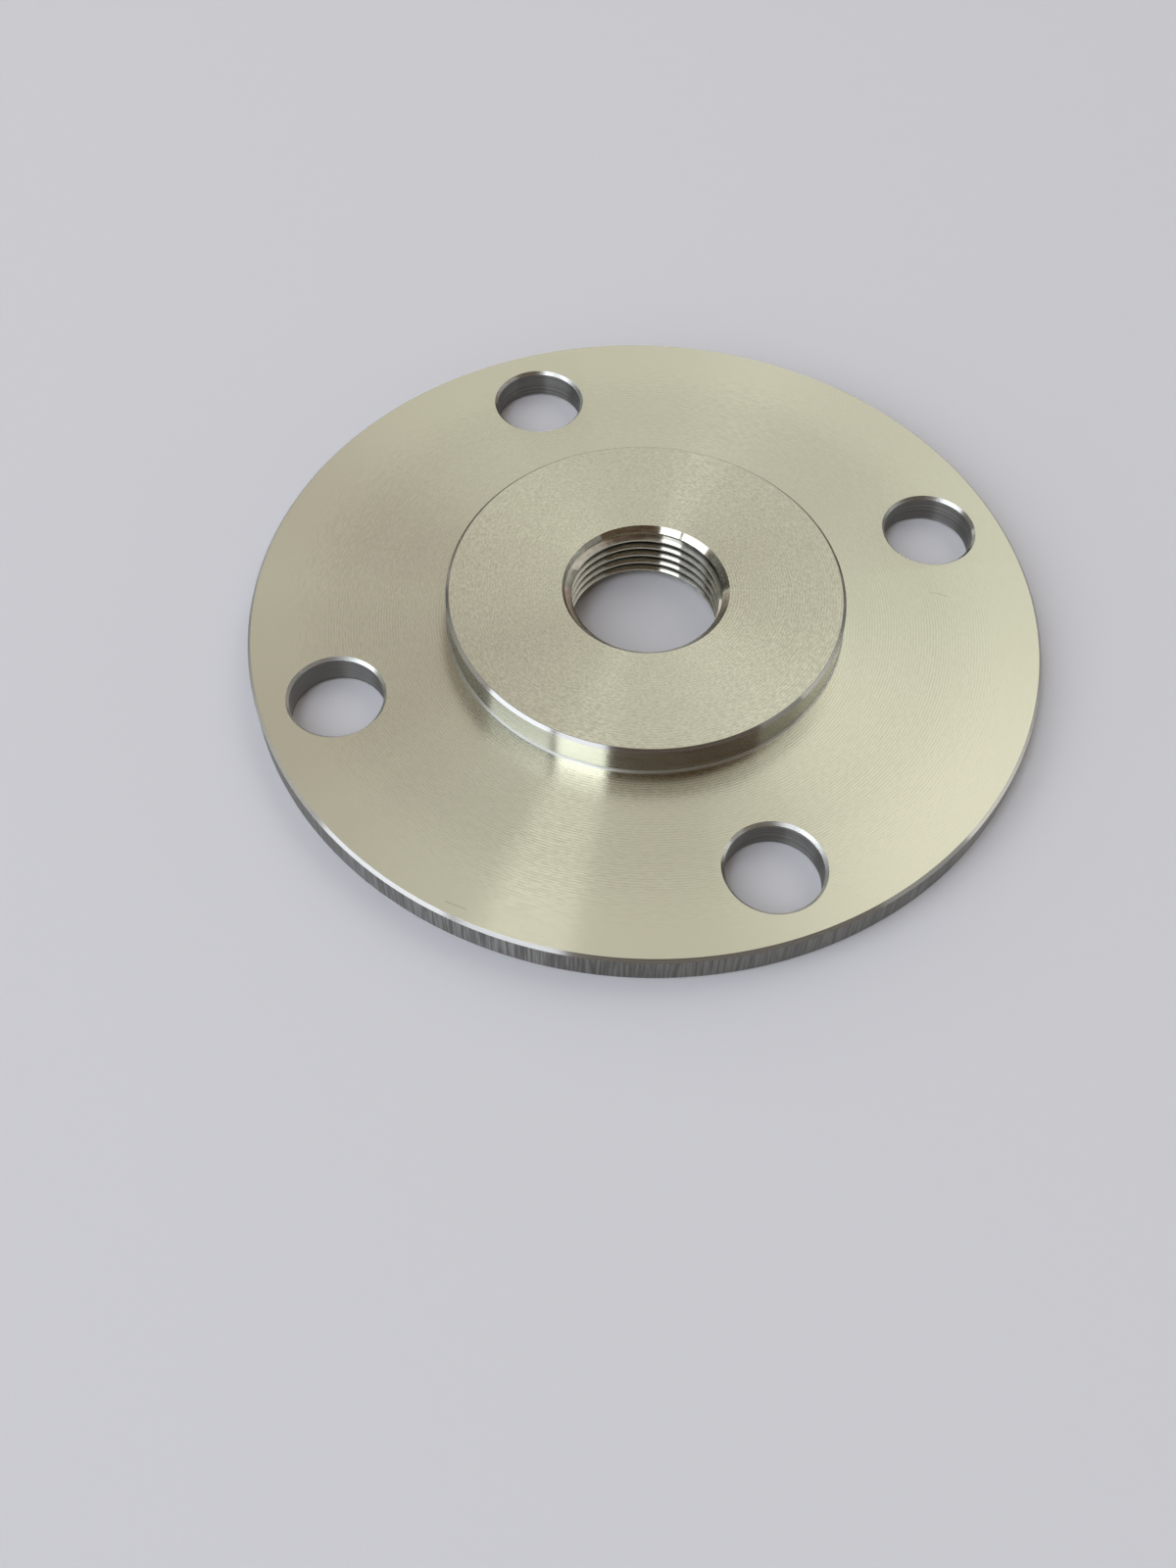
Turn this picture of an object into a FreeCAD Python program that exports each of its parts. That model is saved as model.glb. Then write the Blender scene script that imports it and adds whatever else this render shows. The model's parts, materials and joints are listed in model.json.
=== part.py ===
import FreeCAD, Part
import math
import os
import Sketcher

# Plate flange, millimetres. One stainless steel disc, turned and drilled from a single blank:
# a thin round plate, a low round boss in the middle of it, a central bore for a parallel
# pipe thread, and plain bolt holes through the plate on one circle.
#
# Frame: the origin is the centre of the back face and +Z runs along the bore towards the boss.
# The back face lies in the XY plane, so the flange stands on it.
# The bolt holes straddle the X and Y axes, as they do on pipework.

SIZES = [
    ("plate_thickness", 5.5, "back face to the plate's front face"),
    ("bolt_circle_diameter", 105.0, "circle through the bolt hole centres"),
    ("bolt_hole_diameter", 15.0, "clearance hole for an M12 bolt"),
    ("bolt_hole_count", 4, "holes on the circle, evenly spaced"),
    ("first_hole_angle", 45.0, "degrees from +X to the first hole"),
    ("rim_land", 5.0, "metal left between a bolt hole and the rim"),
    ("boss_diameter", 65.0, "raised boss"),
    ("boss_height", 5.5, "plate's front face to the boss face"),
    ("boss_root_radius", 0.4, "tool nose radius left in the corner at the foot of the boss"),
    ("thread_diameter", 26.441, "major diameter of the bore's thread"),
    ("thread_pitch", 1.814, "14 threads to the inch"),
    ("bore_mouth_margin", 0.4, "how far each mouth opens past the thread, on the radius"),
    ("rim_chamfer", 0.5, "both edges of the plate's rim"),
    ("boss_chamfer", 0.5, "edge of the boss face"),
    ("bolt_hole_chamfer", 0.5, "both ends of each bolt hole"),
]

# A 55 degree pipe thread is cut this share of its pitch deep, from crest to root.
THREAD_DEPTH_RATIO = 0.640327

RIM_RADIUS = "(Sizes.bolt_circle_diameter + Sizes.bolt_hole_diameter) / 2 + Sizes.rim_land"
BOSS_RADIUS = "Sizes.boss_diameter / 2"
BORE_RADIUS = f"Sizes.thread_diameter / 2 - {THREAD_DEPTH_RATIO} * Sizes.thread_pitch"
BORE_MOUTH_CHAMFER = f"{THREAD_DEPTH_RATIO} * Sizes.thread_pitch + Sizes.bore_mouth_margin"


def make_size_sheet(document):
    """The driving dimensions, one named cell each, with what they are beside them."""
    sheet = document.addObject("Spreadsheet::Sheet", "Sizes")
    for row, (name, value, meaning) in enumerate(SIZES, start=1):
        sheet.set(f"A{row}", name)
        sheet.set(f"B{row}", str(value))
        sheet.setAlias(f"B{row}", name)
        sheet.set(f"C{row}", meaning)
    document.recompute()
    return sheet


def origin_plane(body, role):
    """One of the body's own origin planes, found by its role."""
    return next(item for item in body.Origin.OriginFeatures if item.Role == role)


def add_sketch(body, name, plane_role):
    """An empty sketch on one of the body's origin planes."""
    sketch = body.newObject("Sketcher::SketchObject", name)
    sketch.AttachmentSupport = (origin_plane(body, plane_role), "")
    sketch.MapMode = "FlatFace"
    return sketch


def add_size(sketch, kind, references, start_value, name, expression):
    """A named dimension of a sketch, driven by an expression on the sheet."""
    index = sketch.addConstraint(Sketcher.Constraint(kind, *references, start_value))
    sketch.renameConstraint(index, name)
    sketch.setExpression(f"Constraints.{name}", expression)


def add_section_sketch(body):
    """Half of the turned section: the bore wall, the back face, the rim, the plate's front
    face, the side of the boss and the boss face, drawn square. The edges are broken later.
    The corners start near their places, and the named sizes then move them."""
    sketch = add_sketch(body, "TurnedSection", "XZ_Plane")
    corners = [
        FreeCAD.Vector(12, 0, 0),
        FreeCAD.Vector(65, 0, 0),
        FreeCAD.Vector(65, 5, 0),
        FreeCAD.Vector(32, 5, 0),
        FreeCAD.Vector(32, 11, 0),
        FreeCAD.Vector(12, 11, 0),
    ]
    back, rim, front, boss_side, boss_face, bore_wall = range(len(corners))
    for index, corner in enumerate(corners):
        following = corners[(index + 1) % len(corners)]
        sketch.addGeometry(Part.LineSegment(corner, following), False)

    start, end = 1, 2
    origin, x_axis = (-1, 1), -1
    for line in range(len(corners)):
        following = (line + 1) % len(corners)
        sketch.addConstraint(Sketcher.Constraint("Coincident", line, end, following, start))
    for line in (back, front, boss_face):
        sketch.addConstraint(Sketcher.Constraint("Horizontal", line))
    for line in (rim, boss_side, bore_wall):
        sketch.addConstraint(Sketcher.Constraint("Vertical", line))
    sketch.addConstraint(Sketcher.Constraint("PointOnObject", back, start, x_axis))

    add_size(sketch, "DistanceX", (*origin, bore_wall, end), 12, "bore_radius", BORE_RADIUS)
    add_size(sketch, "DistanceX", (*origin, rim, start), 65, "rim_radius", RIM_RADIUS)
    add_size(sketch, "DistanceX", (*origin, boss_side, start), 32, "boss_radius", BOSS_RADIUS)
    add_size(sketch, "DistanceY", (rim, start, rim, end), 5, "plate", "Sizes.plate_thickness")
    add_size(sketch, "DistanceY", (boss_side, start, boss_side, end), 6, "boss", "Sizes.boss_height")
    return sketch


def add_turned_blank(body, section):
    """The section swung a full turn about Z: plate, boss and bore in one."""
    blank = body.newObject("PartDesign::Revolution", "TurnedBlank")
    blank.Profile = section
    blank.ReferenceAxis = (section, ["V_Axis"])
    blank.Angle = 360
    section.Visibility = False
    return blank


def add_hole_sketch(body):
    """The circle of the first bolt hole, held on the bolt circle at its angle from +X."""
    sketch = add_sketch(body, "FirstBoltHole", "XY_Plane")
    centre = FreeCAD.Vector(37, 37, 0)
    circle = sketch.addGeometry(Part.Circle(centre, FreeCAD.Vector(0, 0, 1), 7), False)
    spoke = sketch.addGeometry(Part.LineSegment(FreeCAD.Vector(0, 0, 0), centre), True)
    start, end, middle = 1, 2, 3
    origin, x_axis = (-1, 1), -1
    sketch.addConstraint(Sketcher.Constraint("Coincident", spoke, start, *origin))
    sketch.addConstraint(Sketcher.Constraint("Coincident", spoke, end, circle, middle))
    add_size(sketch, "Distance", (spoke,), 52, "circle_radius", "Sizes.bolt_circle_diameter / 2")
    add_size(sketch, "Diameter", (circle,), 15, "hole_diameter", "Sizes.bolt_hole_diameter")
    add_size(sketch, "Angle", (x_axis, start, spoke, start), 0.78, "hole_angle",
             "Sizes.first_hole_angle * 1 deg")
    return sketch


def add_bolt_holes(body, hole_sketch):
    """The first hole drilled through the plate, then copied round the circle."""
    first_hole = body.newObject("PartDesign::Pocket", "DrillFirstHole")
    first_hole.Profile = hole_sketch
    first_hole.Type = "ThroughAll"
    first_hole.Reversed = True
    hole_sketch.Visibility = False

    pattern = body.newObject("PartDesign::PolarPattern", "BoltHoles")
    pattern.Originals = [first_hole]
    pattern.Axis = (hole_sketch, ["N_Axis"])
    pattern.Angle = 360
    pattern.setExpression("Occurrences", "Sizes.bolt_hole_count")
    body.Tip = pattern
    return pattern


def circles(feature, radius, centred=True):
    """The feature's circles of this radius, round the Z axis or away from it, lowest first,
    each as its height and its edge name."""
    found = []
    for number, edge in enumerate(feature.Shape.Edges, start=1):
        curve = edge.Curve
        if not isinstance(curve, Part.Circle) or abs(curve.Radius - radius) > 1e-4:
            continue
        on_axis = math.hypot(curve.Center.x, curve.Center.y) < 1e-4
        if on_axis == centred:
            found.append((curve.Center.z, f"Edge{number}"))
    return sorted(found)


def dress(body, kind, name, feature, edges, size):
    """A chamfer or a fillet of this size on these edges of the feature before it."""
    dressed = body.newObject(f"PartDesign::{kind}", name)
    dressed.Base = (feature, [edge for height, edge in edges])
    dressed.setExpression({"Chamfer": "Size", "Fillet": "Radius"}[kind], size)
    body.Document.recompute()
    return dressed


def finish_edges(body, section, hole_sketch, holes):
    """Breaks the turned and drilled edges, opens the bore's mouths for the thread, and leaves
    the turning tool's nose radius in the corner at the foot of the boss."""
    rim_radius = section.getDatum("rim_radius").Value
    boss_radius = section.getDatum("boss_radius").Value
    bore_radius = section.getDatum("bore_radius").Value
    hole_radius = hole_sketch.getDatum("hole_diameter").Value / 2

    rim = dress(body, "Chamfer", "RimChamfer", holes, circles(holes, rim_radius),
                "Sizes.rim_chamfer")
    drilled = dress(body, "Chamfer", "BoltHoleChamfer", rim,
                    circles(rim, hole_radius, centred=False), "Sizes.bolt_hole_chamfer")
    mouths = dress(body, "Chamfer", "BoreMouths", drilled, circles(drilled, bore_radius),
                   BORE_MOUTH_CHAMFER)
    boss_edge = circles(mouths, boss_radius)[-1:]
    boss = dress(body, "Chamfer", "BossChamfer", mouths, boss_edge, "Sizes.boss_chamfer")
    boss_foot = circles(boss, boss_radius)[:1]
    return dress(body, "Fillet", "BossRoot", boss, boss_foot, "Sizes.boss_root_radius")


def check_drilling(blank, holes, section, hole_sketch):
    """Compares the metal that the holes took away with what they should take."""
    removed = blank.Shape.Volume - holes.Shape.Volume
    one_hole = math.pi * (hole_sketch.getDatum("hole_diameter").Value / 2) ** 2
    expected = holes.Occurrences * one_hole * section.getDatum("plate").Value
    print(f"bolt holes remove {removed:.1f} mm3, expected {expected:.1f} mm3")
    if abs(removed - expected) > 0.001 * expected:
        raise RuntimeError("the bolt holes did not go through the plate")


def build_flange(document):
    """The whole flange as one body."""
    body = document.addObject("PartDesign::Body", "Flange")
    body.Label = "flange"
    section = add_section_sketch(body)
    blank = add_turned_blank(body, section)
    hole_sketch = add_hole_sketch(body)
    document.recompute()
    holes = add_bolt_holes(body, hole_sketch)
    document.recompute()
    check_drilling(blank, holes, section, hole_sketch)
    body.Tip = finish_edges(body, section, hole_sketch, holes)
    document.recompute()
    return body


def check_document(document):
    """Stops if any object failed or any solid came out empty or broken."""
    for item in document.Objects:
        if "Invalid" in item.State or "Error" in item.State:
            raise RuntimeError(f"{item.Name} failed: {item.State}")
    for body in document.findObjects("PartDesign::Body"):
        if body.Shape.isNull() or not body.Shape.isValid():
            raise RuntimeError(f"{body.Label} has no valid shape")


def export_bodies(document):
    """Writes each body to parts, in a file named after its label."""
    os.makedirs("parts", exist_ok=True)
    for body in document.findObjects("PartDesign::Body"):
        box = body.Shape.BoundBox
        print(f"{body.Label}: {len(body.Shape.Solids)} solid, {body.Shape.Volume / 1000:.2f} cm3, "
              f"{box.XLength:.2f} x {box.YLength:.2f} x {box.ZLength:.2f} mm, lowest z {box.ZMin:.2f}")
        body.Shape.exportStep(os.path.join("parts", f"{body.Label}.step"))


document = FreeCAD.newDocument("PlateFlange")
make_size_sheet(document)
build_flange(document)
check_document(document)
export_bodies(document)
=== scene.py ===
# %% [markdown]
# # A turned plate flange
# The real flange is one disc of stainless steel. A lathe faces it, leaves a low round boss in the
# middle, bores it and breaks its edges, a drill makes the four bolt holes, and a tap cuts the pipe
# thread. The construction model already has the right size and place, so it is loaded first and
# most sizes are read from it. The few that it doesn't list, such as those of the boss, the
# chamfers and the thread's pitch, are given here by name.

# %% Load the flange that sets the size
import json
import math
from collections import namedtuple

import bmesh
import bpy
from mathutils import Matrix, Vector


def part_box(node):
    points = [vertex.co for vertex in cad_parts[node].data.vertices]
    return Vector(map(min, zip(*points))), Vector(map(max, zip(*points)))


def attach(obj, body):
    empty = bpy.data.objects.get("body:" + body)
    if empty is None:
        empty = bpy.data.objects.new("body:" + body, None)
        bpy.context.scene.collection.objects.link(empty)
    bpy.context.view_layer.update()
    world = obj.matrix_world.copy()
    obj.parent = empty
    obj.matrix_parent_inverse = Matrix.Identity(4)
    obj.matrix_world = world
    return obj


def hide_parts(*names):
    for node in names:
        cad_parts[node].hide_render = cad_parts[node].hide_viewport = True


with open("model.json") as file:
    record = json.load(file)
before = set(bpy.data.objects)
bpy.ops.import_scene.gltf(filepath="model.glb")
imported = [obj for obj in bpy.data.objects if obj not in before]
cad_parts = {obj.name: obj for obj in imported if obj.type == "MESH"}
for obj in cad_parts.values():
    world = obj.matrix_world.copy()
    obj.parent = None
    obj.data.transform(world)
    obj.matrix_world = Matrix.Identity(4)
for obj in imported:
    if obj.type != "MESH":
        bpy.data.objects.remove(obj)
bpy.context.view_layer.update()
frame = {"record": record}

MM = 0.001
mounts = {mount["name"]: mount for mount in frame["record"]["mounts"]}
low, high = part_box("flange")

rim_radius = high.x
full_height = high.z
plate_thickness = 2 * mounts["bolt_holes"]["pos_m"][2]
bore_radius = mounts["thread"]["dims"]["r_mm"] * MM
hole_radius = mounts["bolt_holes"]["dims"]["hole_r_mm"] * MM
hole_circle_radius = mounts["bolt_holes"]["dims"]["pcd_mm"] / 2 * MM
hole_count = mounts["bolt_holes"]["dims"]["count"]
first_hole_angle = math.radians(45)

boss_radius = 32.5 * MM
edge_chamfer = 0.5 * MM
boss_root_radius = 0.4 * MM

thread_pitch = 1.814 * MM
thread_depth_ratio = 0.640327
thread_depth = thread_depth_ratio * thread_pitch
mouth_margin = 0.4 * MM
mouth_chamfer = thread_depth + mouth_margin

print(f"rim radius {rim_radius / MM:.2f} mm, plate {plate_thickness / MM:.2f} mm, "
      f"full height {full_height / MM:.2f} mm, bore radius {bore_radius / MM:.3f} mm")

# %% [markdown]
# ## Working in edit mode from code
# Modelling by hand means selecting something and running an operator on it. These helpers do the
# selecting: they open a piece in edit mode with nothing selected, then pick faces or edges by
# where they lie. The operators that follow are the same ones that the menus run.

# %% Helpers for selecting
NEAR = 0.01 * MM
NEARLY_LEVEL = 0.9


def open_piece(piece, kind="FACE"):
    """Opens a piece in edit mode, for faces or edges, with nothing selected."""
    bpy.ops.object.select_all(action="DESELECT")
    bpy.context.view_layer.objects.active = piece
    piece.select_set(True)
    bpy.ops.object.mode_set(mode="EDIT")
    bpy.ops.mesh.select_mode(type=kind)
    bpy.ops.mesh.select_all(action="DESELECT")


def close_piece():
    """Goes back to object mode."""
    bpy.ops.object.mode_set(mode="OBJECT")


def from_axis(point):
    """How far a point is from the flange's axis."""
    return math.hypot(point.x, point.y)


def looks_up(face):
    """Whether a face is level and turned up."""
    return face.normal.z > NEARLY_LEVEL


def looks_down(face):
    """Whether a face is level and turned down."""
    return face.normal.z < -NEARLY_LEVEL


def pick_faces(piece, wanted):
    """Selects the faces for which wanted is true, and only those."""
    mesh = bmesh.from_edit_mesh(piece.data)
    bpy.ops.mesh.select_all(action="DESELECT")
    for face in mesh.faces:
        if wanted(face):
            face.select_set(True)
    bmesh.update_edit_mesh(piece.data)


def pick_rings(piece, *rings):
    """Selects the rings of edges round the axis, each given as its radius and its height."""
    mesh = bmesh.from_edit_mesh(piece.data)
    bpy.ops.mesh.select_all(action="DESELECT")
    for edge in mesh.edges:
        for radius, height in rings:
            if all(abs(from_axis(end.co) - radius) < NEAR and abs(end.co.z - height) < NEAR
                   for end in edge.verts):
                edge.select_set(True)
    bmesh.update_edit_mesh(piece.data)


def apply_modifier(piece, kind, **settings):
    """Adds a modifier, sets it and applies it."""
    bpy.ops.object.select_all(action="DESELECT")
    bpy.context.view_layer.objects.active = piece
    piece.select_set(True)
    modifier = piece.modifiers.new(kind.title(), kind)
    for name, value in settings.items():
        setattr(modifier, name, value)
    bpy.ops.object.modifier_apply(modifier=modifier.name)


def delete_piece(piece):
    """Removes a helper piece, such as a cutter, once it has done its work."""
    mesh = piece.data
    bpy.data.objects.remove(piece)
    bpy.data.meshes.remove(mesh)


# %% [markdown]
# ## The blank: plate and boss
# On the lathe this is a disc that is faced down to the plate, with the boss left standing. The
# same order works here: a low cylinder, its top face inset to the boss's radius, and that face
# pulled up. A revolved profile would do as well, but an inset and an extrusion follow the lathe's
# own steps and need only four sizes. The many sides keep the rim round in a close view.

# %% Plate and boss
SIDES = 288


def make_blank():
    """The plate as a low cylinder, and the boss pulled up from its top."""
    bpy.ops.object.select_all(action="DESELECT")
    bpy.ops.mesh.primitive_cylinder_add(vertices=SIDES, radius=rim_radius, depth=plate_thickness,
                                        location=(0, 0, plate_thickness / 2))
    blank = bpy.context.object
    blank.name = "turned_flange"
    bpy.ops.object.transform_apply(location=True, rotation=True, scale=True)

    open_piece(blank)
    pick_faces(blank, looks_up)
    bpy.ops.mesh.inset(thickness=rim_radius - boss_radius)
    bpy.ops.mesh.extrude_region_move(
        TRANSFORM_OT_translate={"value": (0, 0, full_height - plate_thickness)})
    close_piece()
    return blank


flange = make_blank()
print(f"blank: {len(flange.data.polygons)} faces")

# %% [markdown]
# ## The bore
# Boring takes the middle out. Both end faces are inset to the bore's radius, the two inner faces
# are deleted, and the two open rings are bridged, which makes the wall of the bore.

# %% Bore
def cut_bore(piece):
    """Opens both ends to the bore's radius and bridges them with the bore's wall."""
    open_piece(piece)
    pick_faces(piece, lambda face: looks_up(face) and face.calc_center_median().z > plate_thickness)
    bpy.ops.mesh.inset(thickness=boss_radius - bore_radius)
    pick_faces(piece, looks_down)
    bpy.ops.mesh.inset(thickness=rim_radius - bore_radius)
    pick_faces(piece, lambda face: len(face.verts) == SIDES)
    bpy.ops.mesh.delete(type="ONLY_FACE")
    bpy.ops.mesh.select_mode(type="EDGE")
    mesh = bmesh.from_edit_mesh(piece.data)
    bpy.ops.mesh.select_all(action="DESELECT")
    for edge in mesh.edges:
        edge.select_set(edge.is_boundary)
    bmesh.update_edit_mesh(piece.data)
    bpy.ops.mesh.bridge_edge_loops()
    close_piece()


cut_bore(flange)
print(f"with its bore: {len(flange.data.polygons)} faces")

# %% [markdown]
# ## Broken edges
# Every turned edge gets a small flat at 45 degrees so that it doesn't cut the hand, and the bore's
# mouths get a wider one, which leads the pipe into the thread. In the corner at the foot of the
# boss, the rounded nose of the lathe tool leaves a small radius. All of these are the bevel
# operator: one segment makes the flats, and several make the radius.

# %% Chamfers and the corner radius
ROOT_SEGMENTS = 6


def ring_radius(piece, height, lowest, highest):
    """The radius of the ring of corners at this height, between two radii."""
    found = [from_axis(point.co) for point in piece.data.vertices
             if abs(point.co.z - height) < NEAR and lowest < from_axis(point.co) < highest]
    return sum(found) / len(found)


def break_edges(piece):
    """Bevels the rim, the boss, its corner and the mouths of the bore."""
    inside_boss = boss_radius / 2
    boss_ring = ring_radius(piece, full_height, inside_boss, rim_radius)
    top_mouth = ring_radius(piece, full_height, 0, inside_boss)
    back_mouth = ring_radius(piece, 0, 0, inside_boss)
    open_piece(piece, "EDGE")
    pick_rings(piece, (rim_radius, 0), (rim_radius, plate_thickness), (boss_ring, full_height))
    bpy.ops.mesh.bevel(offset=edge_chamfer, segments=1)
    pick_rings(piece, (top_mouth, full_height), (back_mouth, 0))
    bpy.ops.mesh.bevel(offset=mouth_chamfer, segments=1)
    pick_rings(piece, (boss_ring, plate_thickness))
    bpy.ops.mesh.bevel(offset=boss_root_radius, segments=ROOT_SEGMENTS)
    close_piece()


break_edges(flange)
print(f"edges broken: {len(flange.data.polygons)} faces")

# %% [markdown]
# ## Bolt holes
# Drilled and countersunk holes are easiest as tools: one solid shaped like the drill with a cone
# at each end, copied round the bolt circle, and taken away with a Boolean. The cones run past the
# faces, so that the cut leaves clean 45 degree edges.

# %% Drill the bolt holes
HOLE_SIDES = 128
DRILL_OVERRUN = 1.0 * MM


def make_drill():
    """The drill, standing on the axis, with a 45 degree cone at each end."""
    straight = plate_thickness - 2 * edge_chamfer
    reach = edge_chamfer + DRILL_OVERRUN
    bpy.ops.object.select_all(action="DESELECT")
    bpy.ops.mesh.primitive_cylinder_add(vertices=HOLE_SIDES, radius=hole_radius, depth=straight,
                                        location=(0, 0, plate_thickness / 2))
    drill = bpy.context.object
    bpy.ops.object.transform_apply(location=True, rotation=True, scale=True)
    flare = (hole_radius + reach) / hole_radius
    open_piece(drill)
    for up, wanted in ((1, looks_up), (-1, looks_down)):
        pick_faces(drill, wanted)
        bpy.ops.mesh.extrude_region_move(TRANSFORM_OT_translate={"value": (0, 0, up * reach)})
        bpy.ops.transform.resize(value=(flare, flare, 1), center_override=(0, 0, 0))
    close_piece()
    return drill


def hole_centres():
    """The centres of the bolt holes on the back face."""
    for number in range(hole_count):
        angle = first_hole_angle + number * 2 * math.pi / hole_count
        x = hole_circle_radius * math.cos(angle)
        y = hole_circle_radius * math.sin(angle)
        yield Vector((x, y, 0))


def drill_bolt_holes(piece):
    """One drill, copied to each place on the bolt circle, and taken away from the plate."""
    drill = make_drill()
    for centre in hole_centres():
        placed = drill.copy()
        placed.data = drill.data.copy()
        bpy.context.scene.collection.objects.link(placed)
        placed.location = centre
        bpy.context.view_layer.update()
        apply_modifier(piece, "BOOLEAN", operation="DIFFERENCE", solver="EXACT", object=placed)
        delete_piece(placed)
    delete_piece(drill)


drill_bolt_holes(flange)
print(f"drilled: {len(flange.data.polygons)} faces")

# %% [markdown]
# ## The pipe thread
# The thread is a helical groove of 55 degree form, cut outward from the wall of the bore. Its
# section is drawn once beside the axis and swung upward with the Screw modifier, one pitch for
# each turn. That makes the shape of the tap's teeth, and a Boolean cuts it from the wall. The
# ridge starts below the flange and ends above it, so the thread fades out on the mouths' chamfers
# as a tapped one does. Where it starts is measured in the photograph, on the far side of the bore.

# %% Cut the thread
THREAD_STEPS = 144
THREAD_TURNS = 10
FLANK_ANGLE = math.radians(27.5)
ROOT_FLAT = thread_pitch / 6
INNER_REACH = 0.12 * MM
TOOTH_BACK = 0.6 * MM
CREST_BELOW_FACE = 2.2 * MM
far_wall_angle = math.radians(113.64)


def tooth_section():
    """One tooth of the tap, as radius and height from the tooth's middle, lower half first."""
    outer = bore_radius + thread_depth
    lean = math.tan(FLANK_ANGLE)
    half_root = ROOT_FLAT / 2
    inner = bore_radius - INNER_REACH
    half_base = half_root + (outer - inner) * lean
    lower = [(inner - TOOTH_BACK, -half_base), (inner, -half_base), (outer, -half_root)]
    return lower + [(radius, -height) for radius, height in reversed(lower)]


def make_tap():
    """The tap's teeth: the section swung round the axis and lifted one pitch a turn."""
    section = tooth_section()
    half_wall = max(height for radius, height in section) - INNER_REACH * math.tan(FLANK_ANGLE)
    tooth_at_far_wall = full_height - CREST_BELOW_FACE - half_wall
    start = tooth_at_far_wall - thread_pitch * far_wall_angle / (2 * math.pi)
    while start > -2 * thread_pitch:
        start -= thread_pitch
    bpy.ops.object.select_all(action="DESELECT")
    bpy.ops.mesh.primitive_circle_add(vertices=len(section), radius=thread_pitch, fill_type="NGON")
    tap = bpy.context.object
    for corner, (radius, height) in zip(tap.data.vertices, section):
        corner.co = (radius, 0, start + height)
    apply_modifier(tap, "SCREW", angle=2 * math.pi, screw_offset=thread_pitch, axis="Z",
                   iterations=THREAD_TURNS, steps=THREAD_STEPS, render_steps=THREAD_STEPS,
                   use_merge_vertices=False, use_smooth_shade=False)
    open_piece(tap, "EDGE")
    mesh = bmesh.from_edit_mesh(tap.data)
    for edge in mesh.edges:
        edge.select_set(edge.is_boundary)
    bmesh.update_edit_mesh(tap.data)
    bpy.ops.mesh.edge_face_add()
    bpy.ops.mesh.select_all(action="SELECT")
    bpy.ops.mesh.normals_make_consistent(inside=False)
    close_piece()
    return tap


def cut_thread(piece):
    """Takes the tap's teeth away from the wall of the bore."""
    tap = make_tap()
    heights = [corner.co.z / MM for corner in tap.data.vertices]
    print(f"tap: {len(tap.data.polygons)} faces, z {min(heights):.2f} to {max(heights):.2f} mm")
    apply_modifier(piece, "BOOLEAN", operation="DIFFERENCE", solver="EXACT", object=tap)
    delete_piece(tap)


cut_thread(flange)
print(f"threaded: {len(flange.data.polygons)} faces")

# %% [markdown]
# ## Clean and smooth the mesh
# The Boolean can leave doubled corners, so they are merged first, and the normals are then made
# to point outward. Smoothing by angle keeps the flats and chamfers crisp while the round walls
# shade as round.

# %% Merge, turn outward and smooth
SMOOTH_ANGLE = math.radians(28)
MERGE_DISTANCE = 0.0005 * MM


def finish_mesh(piece):
    """Merges doubled corners, turns faces outward and smooths what is meant to be round."""
    open_piece(piece)
    bpy.ops.mesh.select_all(action="SELECT")
    bpy.ops.mesh.remove_doubles(threshold=MERGE_DISTANCE)
    bpy.ops.mesh.normals_make_consistent(inside=False)
    close_piece()
    bpy.ops.object.shade_smooth_by_angle(angle=SMOOTH_ANGLE)


finish_mesh(flange)
print(f"finished mesh: {len(flange.data.polygons)} faces, {len(flange.data.vertices)} corners")

# %% [markdown]
# ## Shader maths in plain Python
# Wear and tool marks are patterns worked out from a point's place on the flange. Writing them as
# Math nodes by hand is long, so a small class wraps a socket and turns each Python operator into
# the node that does it. Every other node comes from one method.

# %% Sockets as numbers
class Wire:
    """The output of a node, on which Python's operators add Math nodes."""

    def __init__(self, maker, socket):
        self.maker = maker
        self.socket = socket

    def maths(self, operation, *operands):
        """Adds a Math node that works on these operands."""
        sockets = dict(enumerate(operands))
        return self.maker.node("ShaderNodeMath", {"operation": operation}, sockets)

    def __add__(self, other):
        return self.maths("ADD", self, other)

    def __radd__(self, other):
        return self.maths("ADD", other, self)

    def __sub__(self, other):
        return self.maths("SUBTRACT", self, other)

    def __rsub__(self, other):
        return self.maths("SUBTRACT", other, self)

    def __mul__(self, other):
        return self.maths("MULTIPLY", self, other)

    def __rmul__(self, other):
        return self.maths("MULTIPLY", other, self)

    def __truediv__(self, other):
        return self.maths("DIVIDE", self, other)


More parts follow.
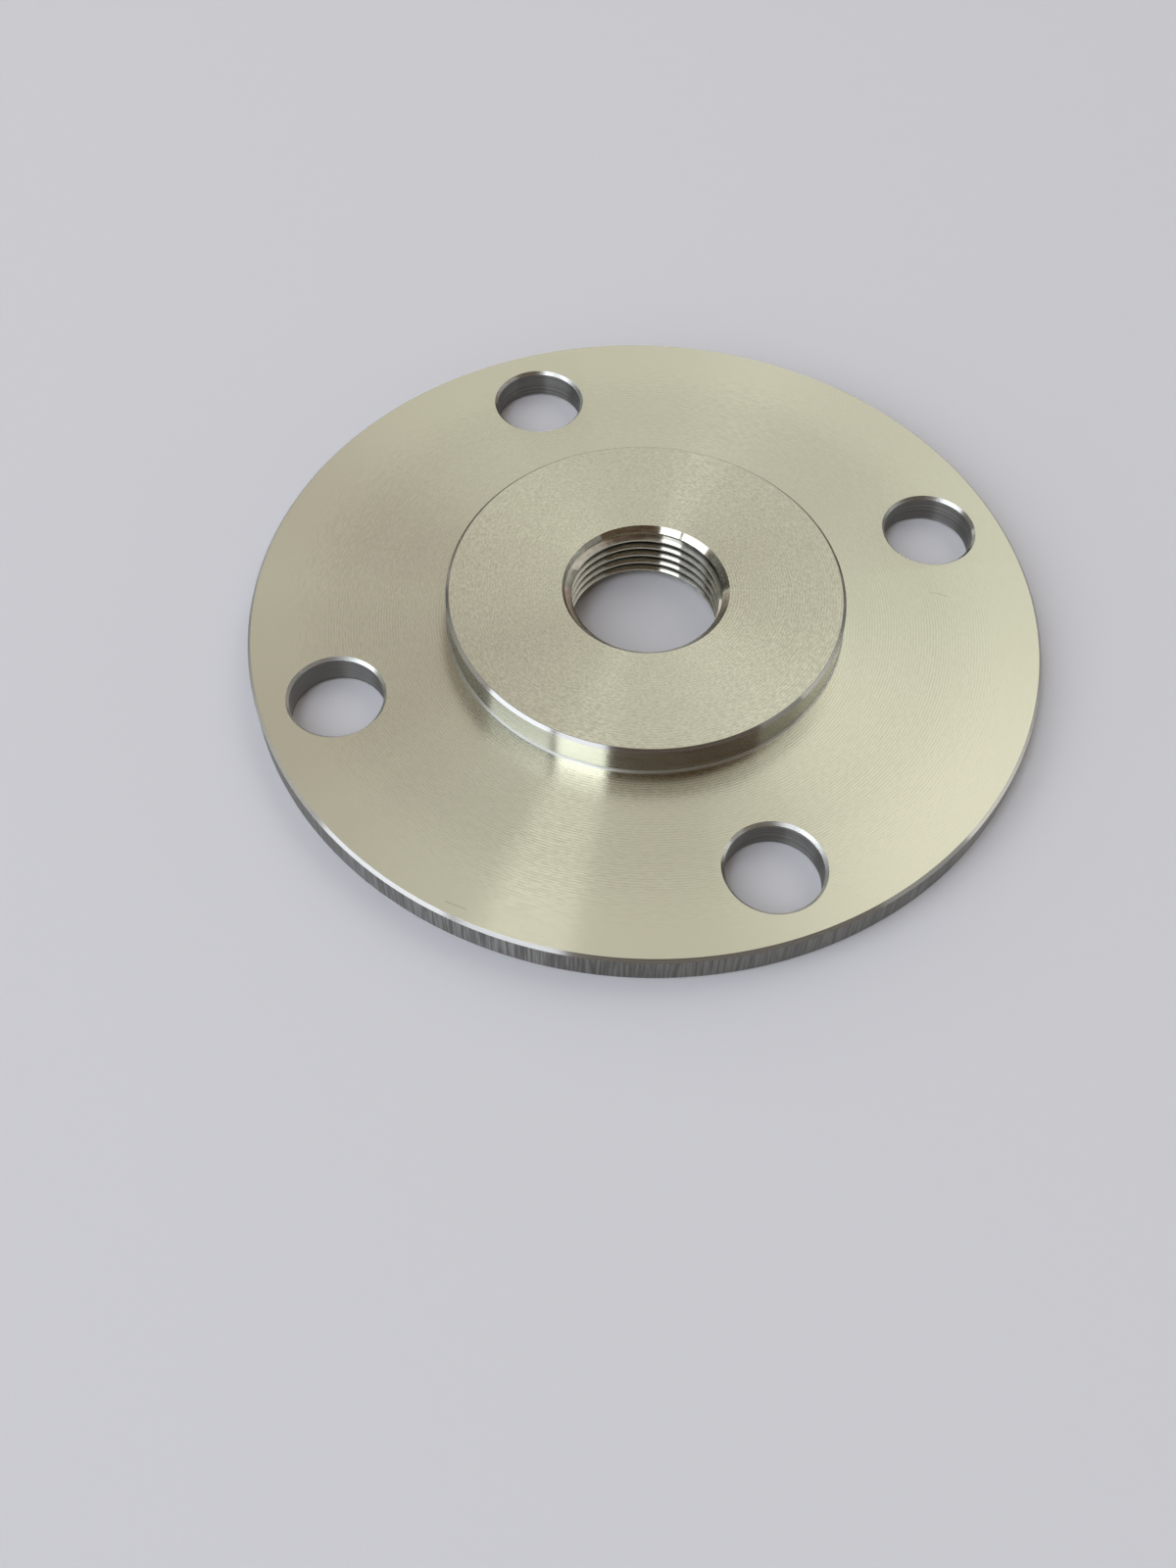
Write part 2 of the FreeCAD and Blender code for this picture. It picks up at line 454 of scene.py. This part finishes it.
class NodeMaker:
    """Adds nodes to one node tree, which may be a material's or the world's."""

    def __init__(self, tree):
        self.tree = tree

    def node(self, kind, settings=None, sockets=None, output=0):
        """Adds a node: its settings first, then the values or links of its sockets."""
        node = self.tree.nodes.new(kind)
        for name, value in (settings or {}).items():
            setattr(node, name, value)
        for name, value in (sockets or {}).items():
            self.feed(node.inputs[name], value)
        return Wire(self, node.outputs[output])

    def feed(self, socket, value):
        """Links a wire to a socket, or sets the socket to a plain value."""
        if isinstance(value, Wire):
            self.tree.links.new(value.socket, socket)
        else:
            socket.default_value = value

    def mix_colour(self, amount, first, second):
        """A colour between two colours. The Mix node's sockets for colours go by number, because
        those for plain numbers and vectors have the same names."""
        sockets = {0: amount, 6: first, 7: second}
        return self.node("ShaderNodeMix", {"data_type": "RGBA"}, sockets, output=2)

    def between(self, value, low, high):
        """0 below low, 1 above high and a soft step from one to the other."""
        return self.node("ShaderNodeMapRange", {"interpolation_type": "SMOOTHSTEP"},
                         {"Value": value, "From Min": low, "From Max": high})

    def noise(self, vector, detail):
        """Soft noise from 0 to 1 at a point, with more or less fine detail."""
        return self.node("ShaderNodeTexNoise", {}, {"Vector": vector, "Scale": 1.0, "Detail": detail})

    def vector_maths(self, operation, sockets, output=0):
        """Adds a Vector Math node."""
        return self.node("ShaderNodeVectorMath", {"operation": operation}, sockets, output)


class Finish(NodeMaker):
    """One surface finish: a material with one Principled shader or more."""

    def __init__(self, name):
        self.material = bpy.data.materials.new(name)
        self.material.use_nodes = True
        super().__init__(self.material.node_tree)
        self.tree.nodes.remove(self.tree.nodes["Principled BSDF"])

    def principled(self, **values):
        """Adds a Principled shader with its sockets set, named with _ for a space."""
        sockets = {name.replace("_", " "): value for name, value in values.items()}
        return self.node("ShaderNodeBsdfPrincipled", {}, sockets)

    def bump(self, height, depth):
        """A normal that shows a height from 0 to 1 as relief of this depth."""
        return self.node("ShaderNodeBump", {}, {"Strength": 1.0, "Distance": depth, "Height": height})

    def show(self, shader):
        """Makes a shader the one that the surface shows."""
        self.feed(self.tree.nodes["Material Output"].inputs["Surface"], shader)


# %% [markdown]
# ## Steel
# All the surfaces are the same stainless steel, and only the tool that cut them differs. Metal
# has no colour of its own besides that of its reflection, so each finish is a light tone and its
# shade, both fully metallic. A turned surface spreads what it mirrors across its fine grooves and
# hardly along them, so every finish is also fully anisotropic, with its rotation a quarter turn.

# %% Steel tones
MIDDLE = 0.5
TURNED_METAL = {"Metallic": 1.0, "Anisotropic": 1.0, "Anisotropic_Rotation": 0.25}

# The faces of the plate and the boss, their small marks and the painted shade on the boss's edge.
STEEL = (0.65, 0.64, 0.49, 1)
STEEL_SHADE = (0.53, 0.52, 0.395, 1)
BOSS_STEEL = (0.685, 0.675, 0.52, 1)
BOSS_SHADE = (0.515, 0.505, 0.385, 1)
MARK_AND_PAINTED_EDGE_SHADE = (0.36, 0.35, 0.27, 1)

# The side of the boss and the chamfers of the bolt holes, then the chamfers of the rim and boss,
# which are darker as painted shade.
BRIGHT_STEEL = (0.69, 0.69, 0.62, 1)
BRIGHT_SHADE = (0.625, 0.625, 0.55, 1)
EDGE_STEEL = (0.51, 0.50, 0.45, 1)
EDGE_SHADE = (0.46, 0.45, 0.40, 1)

# The bore's mouths and the crests of its thread, and the painted shade in the roots of the thread.
MOUTH_STEEL = (0.70, 0.68, 0.56, 1)
MOUTH_SHADE = (0.62, 0.60, 0.49, 1)
PAINTED_ROOT_SHADE = (0.05, 0.045, 0.04, 1)

# The rim and the drilled walls, which stay as they were cut and are darkened further as painted
# shade.
CUT_AND_SHADED_STEEL = (0.32, 0.315, 0.29, 1)
DARK_CUT_AND_SHADED_STEEL = (0.17, 0.165, 0.15, 1)

light_tones = {"plate": STEEL, "boss": BOSS_STEEL, "boss side": BRIGHT_STEEL, "rim": CUT_AND_SHADED_STEEL}
print("green part of the light tones:", {place: tone[1] for place, tone in light_tones.items()})

# %% [markdown]
# ## Patterns that run round the axis
# The tools' marks run round the axis, so every pattern is worked out from how far a point is from
# the axis, which way it lies and how high it is. An image texture would need unwrapping and would
# blur in a close view, and a pattern that is computed does neither. Noise is looked up at a point
# that moves fast across the marks and slowly along them, which draws it out into rings. From here
# on, widths are in millimetres, and streaks are counted to a turn.

# %% Places and rings on the flange
Place = namedtuple("Place", "radius height around")


def place_on_flange(finish):
    """The radius and the height in millimetres, and the x and y of the way from the axis."""
    point = finish.node("ShaderNodeTexCoord", output="Object")
    split = finish.node("ShaderNodeSeparateXYZ", {}, {0: point}).socket.node
    x, y, z = (Wire(finish, split.outputs[axis]) for axis in range(3))
    radius = finish.node("ShaderNodeMath", {"operation": "SQRT"}, {0: x * x + y * y})
    return Place(radius / MM, z / MM, (x / radius, y / radius))


def ring_noise(finish, across, around, line_width, streaks, detail=2.0):
    """Noise drawn out along the turning: lines of a width in millimetres, and this many streaks
    to a turn."""
    reach = streaks / (2 * math.pi)
    x, y = around
    point = finish.node("ShaderNodeCombineXYZ", {},
                        {"X": x * reach, "Y": y * reach, "Z": across / line_width})
    return finish.noise(point, detail)


def clear_rings(finish, across, around, line_width, streaks, detail=2.0, spread=0.2):
    """The same noise made clearer, as steps from 0 to 1 within a spread about its middle."""
    rings = ring_noise(finish, across, around, line_width, streaks, detail)
    return finish.between(rings, MIDDLE - spread, MIDDLE + spread)


print("a place on the flange is its", ", ".join(Place._fields))

# %% [markdown]
# ## Small marks
# Handling has left a few marks: a speck on the boss, a faint scuff on the plate and a short
# scratch near the rim. Each is a line between two places, and the shader measures how far a
# point is from that line. Nothing is painted, so a mark is moved by changing its two places.

# %% Marks between two places
SPECK = [((-4.95, 20.55, 0), (-4.55, 20.45, 0))]
SCUFF = [((41.8, 23.6, 0), (43.1, 24.0, 0)), ((43.1, 24.0, 0), (44.6, 24.0, 0))]
SCRATCH = [((-4.2, -62.8, 0), (-1.0, -62.7, 0))]
MARK_WIDTH = 0.22
MARK_CORE = 0.3
MARK_SHARE = 0.3


def line_mark(finish, start, end):
    """1 on a fine line between two places on the flange, given in millimetres, and 0 off it."""
    run = Vector(end) - Vector(start)
    point = finish.node("ShaderNodeTexCoord", output="Object")
    point = finish.vector_maths("MULTIPLY", {0: point, 1: (1 / MM, 1 / MM, 0)})
    offset = finish.vector_maths("SUBTRACT", {0: point, 1: start})
    offset_and_run = {0: offset, 1: run / run.length_squared}
    along = finish.vector_maths("DOT_PRODUCT", offset_and_run, output="Value")
    along = finish.node("ShaderNodeClamp", {}, {"Value": along})
    nearest = finish.vector_maths("SCALE", {0: run, "Scale": along})
    gap = finish.vector_maths("DISTANCE", {0: offset, 1: nearest}, output="Value")
    return 1 - finish.between(gap, MARK_CORE * MARK_WIDTH, MARK_WIDTH)


def add_marks(finish, steel, marks):
    """The steel with these marks over it, each a little darker than what it crosses."""
    for start, end in marks:
        steel = finish.mix_colour(MARK_SHARE * line_mark(finish, start, end), steel, MARK_AND_PAINTED_EDGE_SHADE)
    return steel


print(f"marks: {len(SPECK + SCUFF + SCRATCH)} short lines, {MARK_WIDTH} mm to each side")

# %% [markdown]
# ## Grooves of the facing tool
# The feed of the facing tool cuts a groove each turn, with one flank that leans towards the axis
# and one that leans away from it. The grooves are too fine to model, so the two flanks become two
# shaders with leaning normals, mixed about half and half, which widens the reflection as real
# flanks do. A wave along the radius then draws the grooves, mostly as a change of tone, and
# slow noise makes them wander a little from turn to turn.

# %% Flanks and waves
FEED = 0.45
WANDER_WIDTH = 5.0
WANDER_STREAKS = 5
FLANK_IN = math.radians(9)
FLANK_OUT = math.radians(4)


def leaning(finish, normal, outward, lean):
    """A normal that leans outward from the axis by an angle, or inward for a negative one."""
    push = finish.vector_maths("SCALE", {0: outward, "Scale": math.tan(lean)})
    both = finish.vector_maths("ADD", {0: normal, 1: push})
    return finish.vector_maths("NORMALIZE", {0: both})


def away_from_axis(finish, around):
    """The direction away from the axis, turned with the flange."""
    x, y = around
    outward = finish.node("ShaderNodeCombineXYZ", {}, {"X": x, "Y": y, "Z": 0.0})
    turned = {"vector_type": "VECTOR", "convert_from": "OBJECT", "convert_to": "WORLD"}
    return finish.node("ShaderNodeVectorTransform", turned, {0: outward})


def groove_wave(finish, place):
    """A wave along the radius from -1 to 1, with one swing for each groove."""
    wander = ring_noise(finish, place.radius, place.around, WANDER_WIDTH, WANDER_STREAKS)
    turns = place.radius / FEED + wander
    return finish.node("ShaderNodeMath", {"operation": "SINE"}, {0: turns * (2 * math.pi)})


print(f"grooves every {FEED} mm, {rim_radius / MM / FEED:.0f} of them out to the rim")

# %% [markdown]
# ## Faced surfaces
# Both faces have the grooves, a fine grain and a slow change of tone. The boss shows much more
# grain than groove, and the plate about as much of each. Towards the rim the plate is lighter, as
# painted light, and its grooves are fainter. The boss's face ends in a fine dark line along its
# edge, a painted shade that draws the far side of the boss.

# %% The faced surfaces
FINE_DETAIL = 3.0
GRAIN_WIDTH = 0.23
GRAIN_STREAKS = 250
GRAIN_DEPTH = 0.0012 * MM
GRAIN_ROUGHNESS = 0.04
FACE_ROUGHNESS = 0.13
BROAD_WIDTH = 6.0
BROAD_STREAKS = 4
BROAD_SHARE = 0.25
RIM_ZONE_START = 0.72
PAINTED_RIM_LIGHT = 0.8
GROOVES_FADE = 0.6
WAVE_ON_FLANKS = 0.05
GRAIN_ON_FLANKS = 0.03
EDGE_LINE_STARTS = 0.15
EDGE_LINE_FULL = 0.05


def face_tone(finish, place, wave, grain, grain_share, groove_tone):
    """How light a face is at a place, from its shade at 0 to its light tone at 1, with painted light
    near the rim.
    """
    broad = ring_noise(finish, place.radius, place.around, BROAD_WIDTH, BROAD_STREAKS)
    near_rim = finish.between(place.radius, RIM_ZONE_START * rim_radius / MM, rim_radius / MM)
    grooves = groove_tone * (1 - GROOVES_FADE * near_rim) * wave
    tone = MIDDLE + grain_share * (grain - MIDDLE) + grooves
    # Painted light: the plate is lighter towards the rim.
    return tone + BROAD_SHARE * (broad - MIDDLE) + PAINTED_RIM_LIGHT * near_rim


def add_painted_edge_shade(finish, steel, radius, edge):
    """The steel with painted shade as a fine dark line inside an edge, whose radius is in
    millimetres.
    """
    line = finish.between(radius, edge - EDGE_LINE_STARTS, edge - EDGE_LINE_FULL)
    return finish.mix_colour(line, steel, MARK_AND_PAINTED_EDGE_SHADE)


def turned_face(name, light, shade, grain_share, groove_tone, marks, painted_shade_edge=None):
    """A face from the facing tool: the two flanks of its grooves, a fine grain and small marks."""
    finish = Finish(name)
    place = place_on_flange(finish)
    wave = groove_wave(finish, place)
    grain = clear_rings(finish, place.radius, place.around, GRAIN_WIDTH, GRAIN_STREAKS, FINE_DETAIL)
    tone = face_tone(finish, place, wave, grain, grain_share, groove_tone)
    steel = add_marks(finish, finish.mix_colour(tone, shade, light), marks)
    # Painted shade: a fine dark line along the edge of the boss.
    if painted_shade_edge:
        steel = add_painted_edge_shade(finish, steel, place.radius, painted_shade_edge)

    outward = away_from_axis(finish, place.around)
    bump = finish.bump(grain, GRAIN_DEPTH)
    roughness = FACE_ROUGHNESS + GRAIN_ROUGHNESS * grain
    flanks = [finish.principled(**TURNED_METAL, Base_Color=steel, Roughness=roughness,
                                Normal=leaning(finish, bump, outward, lean))
              for lean in (FLANK_OUT, -FLANK_IN)]
    inner_share = MIDDLE - WAVE_ON_FLANKS * wave - GRAIN_ON_FLANKS * (grain - MIDDLE)
    finish.show(finish.node("ShaderNodeMixShader", {}, {0: inner_share, 1: flanks[0], 2: flanks[1]}))
    return finish.material


plate_finish = turned_face("faced_plate", STEEL, STEEL_SHADE, grain_share=0.5, groove_tone=0.3,
                           marks=SCUFF + SCRATCH)
boss_finish = turned_face("faced_boss", BOSS_STEEL, BOSS_SHADE, grain_share=0.85, groove_tone=0.2,
                          marks=SPECK, painted_shade_edge=(boss_radius - edge_chamfer) / MM)
print("faces:", plate_finish.name, "and", boss_finish.name)

# %% [markdown]
# ## Walls and chamfers
# The side of the boss and the chamfers have none of the facing grooves, only fine rings up their
# height. The corner at the foot of the boss is duller and shows as a soft light line. The chamfers
# of the rim and the boss are darker as painted shade, and the chamfer of the boss goes darker still
# where it is seen nearly edge on, which is the shader's tint for grazing light. The rim still has
# the fine streaks of the disc's own cut edge, which run across it. The rim and the drilled walls
# are darker too, partly as cut and partly as painted shade.

# %% The walls and the chamfers
RING_WIDTH = 0.12
RING_STREAKS = 12
RING_DEPTH = 0.0025 * MM
RING_ROUGHNESS = 0.05
CUT_STREAK_LENGTH = 9.0
CUT_STREAKS = 1200
CUT_SPREAD = 0.15
EDGE_GRAZING = 0.2


def turned_side(name, light, shade, roughness, cut_edge=False, grazing=1.0):
    """A wall or chamfer that was turned: rings up its height, or streaks across a cut edge. A
    grazing tint below 1 darkens it where it is seen nearly edge on."""
    finish = Finish(name)
    place = place_on_flange(finish)
    if cut_edge:
        rings = clear_rings(finish, place.height, place.around, CUT_STREAK_LENGTH, CUT_STREAKS,
                            FINE_DETAIL, CUT_SPREAD)
    else:
        rings = clear_rings(finish, place.height, place.around, RING_WIDTH, RING_STREAKS)
    finish.show(finish.principled(**TURNED_METAL, Base_Color=finish.mix_colour(rings, shade, light),
                                  Roughness=roughness + RING_ROUGHNESS * rings,
                                  Normal=finish.bump(rings, RING_DEPTH),
                                  Specular_Tint=(grazing, grazing, grazing, 1)))
    return finish.material


bright_finish = turned_side("bright_turned_steel", BRIGHT_STEEL, BRIGHT_SHADE, roughness=0.18)
# Painted shade: the chamfers of the boss and the rim take a darker tone.
boss_edge_finish = turned_side("boss_chamfer_steel", EDGE_STEEL, EDGE_SHADE, roughness=0.18,
                               grazing=EDGE_GRAZING)
corner_finish = turned_side("corner_steel", BRIGHT_STEEL, BRIGHT_SHADE, roughness=0.40)
# Partly cut steel and partly painted shade: the rim and the drilled walls take a darker tone.
rim_finish = turned_side("rim_turned_steel", CUT_AND_SHADED_STEEL, DARK_CUT_AND_SHADED_STEEL, roughness=0.28, cut_edge=True)
rim_edge_finish = turned_side("rim_chamfer_steel", EDGE_STEEL, EDGE_SHADE, roughness=0.18)
drilled_finish = turned_side("drilled_steel", CUT_AND_SHADED_STEEL, DARK_CUT_AND_SHADED_STEEL, roughness=0.32)
sunk_finish = turned_side("countersunk_steel", BRIGHT_STEEL, BRIGHT_SHADE, roughness=0.25)
walls = [bright_finish, boss_edge_finish, corner_finish, rim_finish, rim_edge_finish,
         drilled_finish, sunk_finish]
print("walls and chamfers:", ", ".join(material.name for material in walls))

# %% [markdown]
# ## The thread
# The thread is bright on its crests and dark towards its roots, a painted shade for the little
# light that gets in there, so its colour goes by the distance from the axis. The mouths' chamfers
# lie as far out as the roots but are open to the light. So the painted shade stops short of both
# faces.

# %% The thread
CREST_STAYS_BRIGHT = 0.05
ROOT_DARK_FROM = 0.75
BACK_MOUTH_ENDS = (0.6, 1.4)
FRONT_MOUTH_ENDS = (1.3, 1.8)
TAP_STREAK_WIDTH = 0.3
TAP_STREAKS = 60
THREAD_ROUGHNESS = 0.15


def threaded(name):
    """The thread: bright on its crests, and darker towards its roots as painted shade."""
    finish = Finish(name)
    place = place_on_flange(finish)
    crest_radius = bore_radius / MM
    root = finish.between(place.radius, crest_radius + CREST_STAYS_BRIGHT,
                          crest_radius + ROOT_DARK_FROM * thread_depth / MM)
    past_back_mouth = finish.between(place.height, *BACK_MOUTH_ENDS)
    past_front_mouth = finish.between(full_height / MM - place.height, *FRONT_MOUTH_ENDS)
    streaks = clear_rings(finish, place.height, place.around, TAP_STREAK_WIDTH, TAP_STREAKS,
                          FINE_DETAIL)
    crest = finish.mix_colour(streaks, MOUTH_SHADE, MOUTH_STEEL)
    # Painted shade: the roots go dark, except near the two mouths.
    dark = root * (past_back_mouth * past_front_mouth)
    steel = finish.mix_colour(dark, crest, PAINTED_ROOT_SHADE)
    finish.show(finish.principled(**TURNED_METAL, Base_Color=steel,
                                  Roughness=THREAD_ROUGHNESS + RING_ROUGHNESS * streaks))
    return finish.material


thread_finish = threaded("threaded_steel")
dark_from = (bore_radius + ROOT_DARK_FROM * thread_depth) / MM
print(f"{thread_finish.name}: fully dark from a radius of {dark_from:.2f} mm outward")

# %% [markdown]
# ## Which finish goes where
# Each face of the mesh takes the finish of the tool that made it, and its place and its slope say
# which tool that was. Level faces come from the facing tool, and all that slopes inside the
# mouths of the bore from the tap. Outside the boss, what is upright is the rim or a drilled wall,
# and the rest are chamfers. On the boss there are its own chamfer, its side and its corner.

# %% Give each face its finish
FINISHES = [plate_finish, boss_finish, *walls, thread_finish]
(PLATE, BOSS, BRIGHT, BOSS_EDGE, CORNER, RIM, RIM_EDGE, DRILLED, SUNK,
 THREADED) = range(len(FINISHES))
LEVEL = 0.99
UPRIGHT = 0.1


def finish_of(centre, normal):
    """The finish of a face from its centre and normal."""
    radius = from_axis(centre)
    slope = abs(normal.z)
    if slope > LEVEL:
        return BOSS if centre.z > full_height - NEAR else PLATE
    if radius < bore_radius + mouth_chamfer:
        return THREADED
    if radius > boss_radius + boss_root_radius:
        if slope < UPRIGHT:
            return RIM if radius > rim_radius - 2 * NEAR else DRILLED
        return RIM_EDGE if radius > rim_radius - edge_chamfer else SUNK
    if centre.z > full_height - edge_chamfer:
        return BOSS_EDGE
    return CORNER if centre.z < plate_thickness + boss_root_radius else BRIGHT


def give_finishes(piece):
    """Puts the finishes on the piece and counts the faces of each."""
    for material in FINISHES:
        piece.data.materials.append(material)
    counts = [0] * len(FINISHES)
    for face in piece.data.polygons:
        face.material_index = finish_of(face.center, face.normal)
        counts[face.material_index] += 1
    for material, count in zip(FINISHES, counts):
        print(f"{material.name}: {count} faces")


give_finishes(flange)
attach(flange, "root")
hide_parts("flange")

# %% [markdown]
# ## The camera
# The camera was fitted to the photograph: its place, the angle that it looks down, a slight roll
# and its focal length. The bolt holes lie square to the flange's own axes, so the camera stands
# to one side of them.

# %% Camera
VIEW_TURN = math.radians(23.64)
LOOK_DOWN = math.radians(56.325)
ROLL = math.radians(1.186)
CAMERA_PLACE = Vector((58.72, -155.94, 202.93)) * MM
LENS = 35.69
SENSOR_WIDTH = 36
NEAREST_SEEN = 1 * MM


def make_camera():
    """The photograph's camera, looking down on the flange."""
    data = bpy.data.cameras.new("camera")
    camera = bpy.data.objects.new("camera", data)
    bpy.context.scene.collection.objects.link(camera)
    data.lens = LENS
    data.sensor_width = SENSOR_WIDTH
    data.clip_start = NEAREST_SEEN
    turn = Matrix.Rotation(VIEW_TURN, 4, "Z") @ Matrix.Rotation(math.pi / 2 - LOOK_DOWN, 4, "X")
    camera.matrix_world = Matrix.Translation(CAMERA_PLACE) @ turn @ Matrix.Rotation(ROLL, 4, "Z")
    bpy.context.scene.camera = camera
    return camera


camera = make_camera()
print(f"camera {camera.location.length / MM:.0f} mm from the flange's foot")

# %% [markdown]
# ## Floor
# The flange lies on a plain pale floor, wide enough to fill the view.

# %% Floor
FLOOR_COLOUR = (0.80, 0.80, 0.795, 1)
FLOOR_ROUGHNESS = 0.9
FLOOR_SIZE = 8.0


def make_floor():
    """A plain pale floor under the flange."""
    bpy.ops.object.select_all(action="DESELECT")
    bpy.ops.mesh.primitive_plane_add(size=FLOOR_SIZE, location=(0, 0, 0))
    floor = bpy.context.object
    floor.name = "floor"
    finish = Finish("floor_paper")
    finish.show(finish.principled(Base_Color=FLOOR_COLOUR, Roughness=FLOOR_ROUGHNESS))
    floor.data.materials.append(finish.material)
    return floor


floor = make_floor()
print(f"floor {floor.dimensions.x:.1f} m wide")

# %% [markdown]
# ## Directions in the studio
# A metal surface shows what stands round it, so the studio is laid out by what each part of the
# flange shows to the camera. For a face that is turned to some angle round the axis and tilted
# outward, the mirror rule gives the one direction in the room that it reflects. The angles are
# counted as the camera sees them: 0 degrees is to the right, 90 straight ahead and -90 towards
# the camera. The flat faces have a tilt of 0, the chamfers 45 and the upright walls 90.

# %% Mirror directions
def studio_direction(around, up):
    """A direction from the flange: degrees round from the camera's right, and degrees up."""
    around = math.radians(around) + VIEW_TURN
    up = math.radians(up)
    return Vector((math.cos(around) * math.cos(up),
                   math.sin(around) * math.cos(up),
                   math.sin(up)))


def seen_by(edge_angle, tilt):
    """The direction that a turned surface shows to the camera, at this angle round the axis,
    where its normal leans outward by tilt degrees."""
    around = math.radians(edge_angle) + VIEW_TURN
    lean = math.radians(tilt)
    normal = Vector((math.cos(around) * math.sin(lean),
                     math.sin(around) * math.sin(lean),
                     math.cos(lean)))
    to_camera = CAMERA_PLACE.normalized()
    return 2 * normal.dot(to_camera) * normal - to_camera


front_chamfer = seen_by(-90, 45)
chamfer_height = math.degrees(math.asin(front_chamfer.z))
print(f"the front chamfer shows the room at a height of {chamfer_height:.0f} degrees")

# %% [markdown]
# ## Cloth panels
# The bright strip at the front, the window to its left and the dark cloth to its right are what
# give the boss's side and the chamfers their hard light and dark bands. Each panel is a curved
# grid whose corners lie in the directions that the surfaces show between two angles and two
# tilts. A lamp would do for the light, but only a panel has edges that a chamfer can mirror. The
# panels named foot stand low in the room. Under the dark cloths they are lighter, so that the
# flange also looks like steel when it is seen low from the other side.

# %% Cloth panels
PANEL_DISTANCE = 3.0
PANEL_COLUMNS = 8
PANEL_ROWS = 6
WHITE = (1, 1, 1, 1)
COOL = (0.95, 1, 1.15, 1)
BROWN = (1, 0.6, 0.35, 1)

# Each panel is its name, the two angles, the two tilts, how bright it is and its colour.
PANELS = [
    ("ceiling_strip", -116, -101, 12, 24, 1.7, WHITE),
    ("front_strip_top", -116, -101, 24, 32, 4.2, COOL),
    ("front_strip", -116, -101, 32, 44, 3.0, COOL),
    ("front_strip_foot", -116, -101, 44, 66, 1.3, COOL),
    ("window_top", -143, -116, 16, 36, 0.4, COOL),
    ("window", -140, -118, 36, 51, 2.6, COOL),
    ("window_foot", -143, -116, 51, 66, 1.3, COOL),
    ("dark_cloth", -101, -56, 22, 53, 0.085, BROWN),
    ("dark_cloth_foot", -101, -56, 53, 66, 0.5, WHITE),
    ("grey_cloth", -56, 0, 24, 48, 0.21, WHITE),
    ("grey_cloth_foot", -56, -40, 48, 66, 0.6, WHITE),
    ("right_window", -40, 0, 48, 66, 1.8, WHITE),
    ("left_cloth", -180, -143, 22, 48, 0.05, WHITE),
    ("left_cloth_foot", -180, -143, 48, 66, 1.2, WHITE),
]


def add_panel(name, left, right, near_tilt, far_tilt, level, colour):
    """A panel of cloth, bright or dark, that turned surfaces show between two angles round the
    axis and between two tilts of their normal."""
    bpy.ops.object.select_all(action="DESELECT")
    bpy.ops.mesh.primitive_grid_add(x_subdivisions=PANEL_COLUMNS, y_subdivisions=PANEL_ROWS, size=1)
    panel = bpy.context.object
    panel.name = name
    for corner in panel.data.vertices:
        angle = left + (right - left) * (corner.co.x + MIDDLE)
        tilt = near_tilt + (far_tilt - near_tilt) * (corner.co.y + MIDDLE)
        corner.co = seen_by(angle, tilt) * PANEL_DISTANCE
    cloth = bpy.data.materials.new(name)
    cloth.use_nodes = True
    maker = NodeMaker(cloth.node_tree)
    glow = maker.node("ShaderNodeEmission", {}, {"Color": colour, "Strength": level})
    maker.feed(cloth.node_tree.nodes["Material Output"].inputs["Surface"], glow)
    panel.data.materials.append(cloth)
    panel.visible_camera = False


for panel in PANELS:
    add_panel(*panel)
print(f"{len(PANELS)} panels, {PANEL_DISTANCE} m from the flange")

# %% [markdown]
# ## The dome of light
# The rest of the room is a dome with a low even level and a few wide soft glows. They give the
# turned faces their slow change from the darker left to the bright right. The even level is warm
# and most of the glows are a little cool, so the steel looks warmer where it mirrors less light.
# The camera sees a plain pale backdrop instead, so the picture's background stays even.

# %% The dome of light
EVEN_LEVEL = 0.22
ROOM_TINT = (1.35, 1, 0.95)
PALE = (0.89, 1, 1)
ROSE = (1.15, 1, 1)

# Each glow is its place in the room, its reach in degrees, how bright it is and its colour.
GLOWS = [
    ((95, 15), 30, 0.74, PALE),
    ((145, 30), 30, 1.06, PALE),
    ((20, 50), 30, 0.51, ROSE),
    ((60, 50), 30, 0.91, PALE),
    ((170, 70), 30, 0.88, PALE),
]
BACKDROP_LEVEL = 0.62


def make_dome():
    """A dome with a few wide soft glows. The camera itself sees a plain pale backdrop."""
    world = bpy.data.worlds.new("studio_dome")
    bpy.context.scene.world = world
    world.use_nodes = True
    dome = NodeMaker(world.node_tree)
    direction = dome.node("ShaderNodeTexCoord", output="Generated")
    light = [EVEN_LEVEL * part for part in ROOM_TINT]
    for place, reach, strength, colour in GLOWS:
        towards_glow = {0: direction, 1: studio_direction(*place)}
        facing = dome.vector_maths("DOT_PRODUCT", towards_glow, output="Value")
        glow = strength * dome.between(facing, math.cos(math.radians(reach)), 1.0)
        light = dome.vector_maths("MULTIPLY_ADD", {0: colour, 1: glow, 2: light})
    camera_ray = dome.node("ShaderNodeLightPath", output="Is Camera Ray")
    backdrop = [BACKDROP_LEVEL] * 3 + [1]
    dome.feed(world.node_tree.nodes["Background"].inputs["Color"],
              dome.mix_colour(camera_ray, light, backdrop))
    world.node_tree.nodes["Background"].inputs["Strength"].default_value = 1.0


make_dome()
bpy.context.scene.view_settings.view_transform = "Standard"
print(f"dome with {len(GLOWS)} glows over an even level of {EVEN_LEVEL}")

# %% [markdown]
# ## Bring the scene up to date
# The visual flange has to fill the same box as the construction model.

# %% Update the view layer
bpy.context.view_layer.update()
